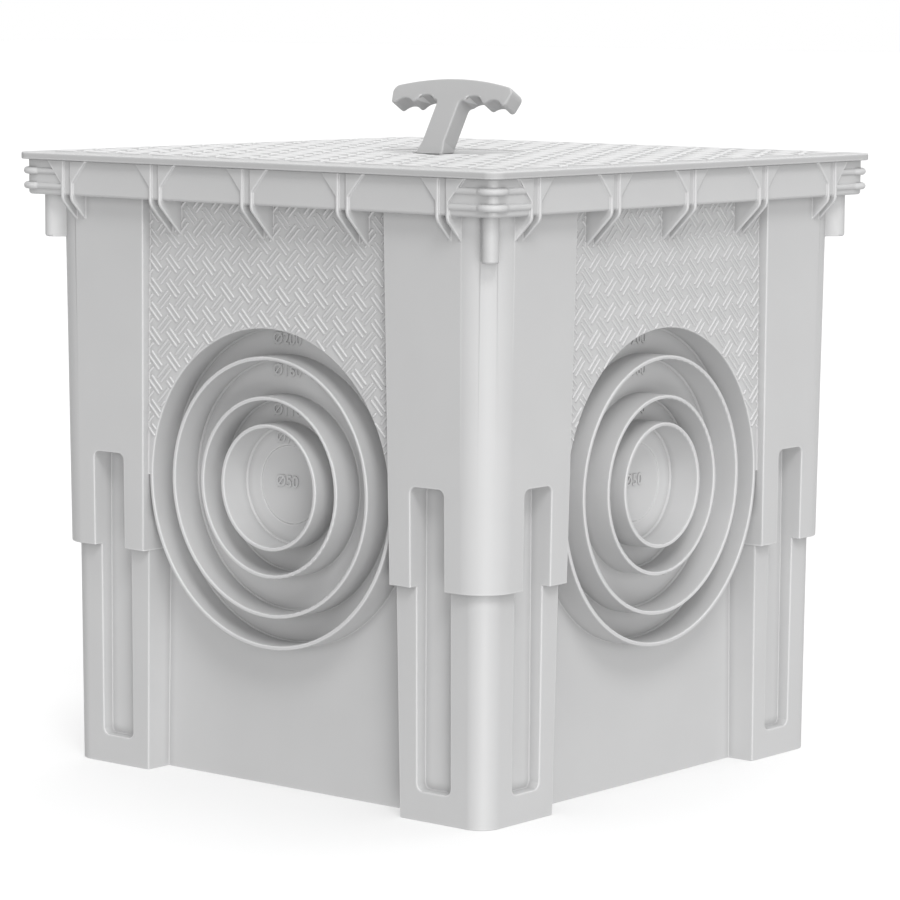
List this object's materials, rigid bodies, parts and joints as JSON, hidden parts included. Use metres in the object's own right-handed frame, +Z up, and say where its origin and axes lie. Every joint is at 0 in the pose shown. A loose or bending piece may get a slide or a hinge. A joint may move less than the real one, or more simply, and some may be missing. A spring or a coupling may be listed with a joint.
{
  "type": "drain inspection chamber",
  "caption": "Square moulded drain inspection chamber with stepped knock-out pipe collars on each side, hollow corner posts, a lift-off tread lid and a T-shaped lifting key.",
  "frame": {"origin": "centre of the base, on the ground", "axes": "+Z up; X and Y run square to the four sides; the key's grip runs along X and leans back towards +Y"},
  "size_m": [0.4, 0.4, 0.4482],
  "materials": {
    "body_plastic": "light grey injection-moulded plastic, fine matt surface",
    "lid_plastic": "light grey injection-moulded plastic with a raised tread pattern",
    "key_plastic": "light grey injection-moulded plastic, softened edges"
  },
  "bodies": {
    "chamber": {"chamber_body": "body_plastic"},
    "lid": {"access_lid": "lid_plastic"},
    "key": {"lifting_key": "key_plastic"}
  },
  "joints": [
    {"name": "lid_lift", "type": "slide", "parent": "chamber", "child": "lid", "axis": [0, 0, 1], "range_m": [0, 0.12]},
    {"name": "key_tip", "type": "hinge", "parent": "lid", "child": "key", "pos_m": [0, -0.022, 0.3994], "axis": [1, 0, 0], "range_deg": [0, 30]}
  ]
}
